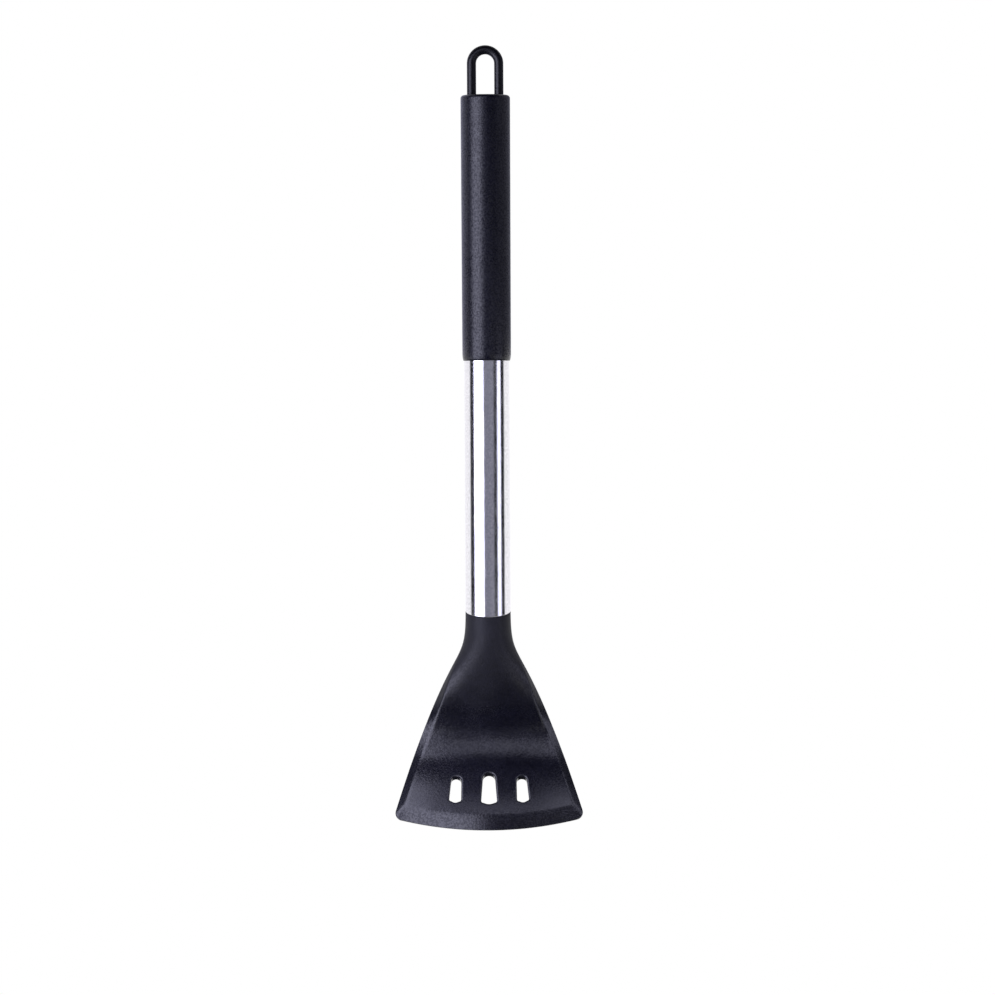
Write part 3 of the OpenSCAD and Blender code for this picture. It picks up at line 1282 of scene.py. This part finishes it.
@dataclass(frozen=True)
class Panel:
    """A soft panel light, or a card that holds light off, by where the object sees it.

    Its azimuth and spread are degrees about the handle's axis, and low and high are heights.
    """

    name: str
    azimuth: float
    reach: float
    spread: float
    low: float
    high: float
    radiance: float
    soft: Span = (0.05, 0.05)

    def place(self) -> tuple[Vector, Point, Span]:
        """Work out where the panel stands.

        Returns:
            Its middle in metres, its rotation, and its width and height in millimetres.
        """
        a = math.radians(self.azimuth)
        width = 2 * self.reach * math.tan(math.radians(self.spread / 2))
        middle = (self.reach * math.sin(a), -self.reach * math.cos(a), (self.low + self.high) / 2)
        return Vector(middle) * MM, (math.radians(90), 0, a), (width, self.high - self.low)

    def glow(self, graph: Graph, tint: Point) -> Field:
        """Make the panel's light, which falls off toward its left and right edges.

        Args:
            graph: The panel's node graph.
            tint: Colour of the light.

        Returns:
            The emitting shader.
        """
        across = graph.part(graph.place(Space.UV), Axis.X)
        left, right = self.soft
        level = across.step(0.0, left) * (1 - across.step(1 - right, 1.0))
        colour = graph.tint(level, BLACK, tint)
        return graph.node("ShaderNodeEmission", {"Color": colour, "Strength": self.radiance})

    def build(self, tint: Point) -> None:
        """Set up the panel, which the camera doesn't see.

        Args:
            tint: Colour of the light.
        """
        middle, turn, size = self.place()
        Bench.clear()
        bpy.ops.mesh.primitive_plane_add(size=MM, location=middle, rotation=turn)
        bpy.context.active_object.scale = (*size, 1)
        panel = Bench.named(self.name)
        panel.data.materials.append(surfaced(self.name, lambda graph: self.glow(graph, tint)))
        panel.visible_camera = False
        LOG.info("%s stands", self.name)


@dataclass(frozen=True)
class Surroundings:
    """The world: white to the camera, and in reflections white behind the object and dim ahead.

    Spans are of the cosine to a direction, but for the backdrop's, which is of what lies behind.
    """

    backdrop: Point = (1.0, 0.99, 1.035)
    backdrop_span: Span = (0.2, 0.6)
    behind_span: Span = (-0.155, -0.055)
    behind_level: float = 1.1
    high_span: Span = (0.05, 0.2)
    high_loss: float = 0.5
    room_azimuth: float = 11.0
    room_span: Span = (0.88, 0.95)
    room_level: float = 0.23
    rest_level: float = 0.008
    diffuse_level: float = 0.15

    def facing(self, graph: Graph, azimuth: float) -> Field:
        """Cosine of a ray's direction to a level one.

        Args:
            graph: The world's node graph.
            azimuth: Turn of the level direction from the camera's side, in degrees.

        Returns:
            1 along the direction to -1 against it.
        """
        a = math.radians(azimuth)
        inputs = {0: graph.place(Space.WAY), 1: (math.sin(a), -math.cos(a), 0.0)}
        return graph.node("ShaderNodeVectorMath", inputs, "Value", operation="DOT_PRODUCT")

    def build(self, tint: Point) -> None:
        """Make the scene's world.

        Args:
            tint: Colour of the studio's light.
        """
        world = bpy.data.worlds.new("studio")
        world.use_nodes = True
        bpy.context.scene.world = world
        graph = Graph(world.node_tree)
        high = graph.part(graph.place(Space.WAY), Axis.Z).step(*self.high_span)
        ahead = self.facing(graph, 0).step(*self.behind_span)
        behind = (1 - ahead) * (1 - self.high_loss * high)
        room = self.facing(graph, self.room_azimuth).step(*self.room_span) * self.room_level
        reflected = behind * self.behind_level + room + self.rest_level
        seen, shine = graph.ray(Ray.CAMERA), graph.ray(Ray.GLOSSY)
        level = seen + (1 - seen) * (shine * reflected + (1 - shine) * self.diffuse_level)
        lit = graph.tint(behind.step(*self.backdrop_span), tint, self.backdrop)
        colour = graph.tint(seen, lit, WHITE)
        shade = graph.node("ShaderNodeBackground", {"Strength": level, "Color": colour})
        graph.node("ShaderNodeOutputWorld", {"Surface": shade})


@dataclass(frozen=True)
class Floor:
    """A floor that is white to the camera, and in reflections white in places.

    In reflections it is white far off behind and to both sides, and close by in front. Its spans
    are in metres, or in square metres where they are of a squared distance.
    """

    side_m: float = 8.0
    height_m: float = -0.72
    dark: Point = (0.05, 0.05, 0.05)
    light: Point = (0.08, 0.08, 0.08)
    cloud_mm: float = 120.0
    behind_span: Span = (-0.2, 0.2)
    beside_span: Span = (0.3, 0.6)
    far_span: Span = (0.8, 1.6)
    near_span: Span = (0.1, 0.2)
    front_span: Span = (-0.1, 0.1)

    def reflected(self, graph: Graph) -> Field:
        """Work out where reflections find the floor white.

        Args:
            graph: The floor's node graph.

        Returns:
            A field of 0 where it is dark to 1 where it is white.
        """
        across = graph.part(graph.place(), Axis.X)
        deep = graph.part(graph.place(), Axis.Y)
        across_squared = across * across
        distance_squared = across_squared + deep * deep
        beside = across_squared.step(*self.beside_span)
        behind = deep.step(*self.behind_span)
        far = (behind + (1 - behind) * beside) * distance_squared.step(*self.far_span)
        near = (1 - distance_squared.step(*self.near_span)) * (1 - deep.step(*self.front_span))
        return far + near

    def surface(self, graph: Graph) -> Field:
        """Make the floor's surface.

        Args:
            graph: The floor's node graph.

        Returns:
            A matte grey that camera rays and some reflections find white.
        """
        cloud = graph.noise(graph.place(), self.cloud_mm, detail=3.0)
        grey = graph.tint(cloud, self.dark, self.light)
        matte = graph.node("ShaderNodeBsdfDiffuse", {"Color": grey})
        white = graph.node("ShaderNodeEmission", {"Color": (*WHITE, 1.0), "Strength": 1.0})
        share = graph.ray(Ray.CAMERA) + graph.ray(Ray.GLOSSY) * self.reflected(graph)
        return graph.node("ShaderNodeMixShader", {0: share, 1: matte, 2: white})

    def build(self) -> None:
        """Lay the floor."""
        Bench.clear()
        bpy.ops.mesh.primitive_plane_add(size=self.side_m, location=(0, 0, self.height_m))
        floor = Bench.named("floor")
        floor.data.materials.append(surfaced("floor", self.surface))


@dataclass(frozen=True)
class Viewpoint:
    """A level long-lens camera in front of the object."""

    centre: Point = (0.0, 0.0, -186.8)
    distance: float = 3000.0
    field_mm: float = 419.4
    shift_mm: float = 4.23
    roll: float = 0.32
    sensor_mm: float = 36.0
    clip_m: float = 100.0

    def build(self) -> None:
        """Set up the camera."""
        data = bpy.data.cameras.new("camera")
        data.sensor_width = self.sensor_mm
        data.lens = self.sensor_mm * self.distance / self.field_mm
        data.clip_end = self.clip_m
        camera = bpy.data.objects.new("camera", data)
        bpy.context.scene.collection.objects.link(camera)
        camera.location = (Vector(self.centre) + Vector((self.shift_mm, -self.distance, 0))) * MM
        camera.rotation_euler = (math.radians(90), math.radians(self.roll), 0)
        bpy.context.scene.camera = camera


@dataclass(frozen=True)
class Studio:
    """White surroundings, a floor, panel lights and a camera."""

    tint: Point = (0.95, 0.95, 1.22)
    surroundings: Surroundings = Surroundings()
    floor: Floor = Floor()
    viewpoint: Viewpoint = Viewpoint()
    panels: tuple[Panel, ...] = (
        Panel("left_panel", -41.5, 420, 57, low=-340, high=120, radiance=4.0, soft=(0.09, 0.28)),
        Panel("right_panel", 62.5, 420, 22, low=-400, high=120, radiance=1.6, soft=(0.1, 0.08)),
        Panel("front_panel", -6.0, 3000, 40, low=500, high=1950, radiance=1.25, soft=(0.5, 0.1)),
        Panel("high_panel", 29.0, 3000, 30, low=500, high=2300, radiance=1.8, soft=(0.1, 0.1)),
        Panel("lip_card", -29.0, 46.6, 66, low=-335, high=-313, radiance=3.3, soft=(0.1, 0.4)),
        Panel("grey_card", 105.0, 75, 120, low=-125, high=40, radiance=0.32),
        Panel("pale_card", -136.0, 75, 72, low=-125, high=40, radiance=0.7),
        Panel("grip_flag", 25.0, 300, 40, low=-25, high=330, radiance=0.0),
    )

    def build(self) -> None:
        """Set up the whole studio."""
        bpy.context.scene.view_settings.view_transform = "Standard"
        self.surroundings.build(self.tint)
        self.floor.build()
        for panel in self.panels:
            panel.build(self.tint)
        self.viewpoint.build()


def main() -> None:
    """Build the turner and its studio."""
    logging.basicConfig(level=logging.INFO, format="%(name)s %(message)s")
    handle = Handle()
    pieces: list[Piece] = [
        HangingLoop("hanging_loop", "loop_plastic", LOOP_PLASTIC, handle),
        Grip("grip", "grip_plastic", GRIP_PLASTIC, handle),
        Tube("steel_tube", "tube_steel", TUBE_STEEL, handle),
        Head("head_skin", "silicone", SILICONE, handle),
    ]
    for piece in pieces:
        piece.dress(piece.build())
    Insides().dress(frame["nodes"])
    Studio().build()


if __name__ == "__main__":
    main()
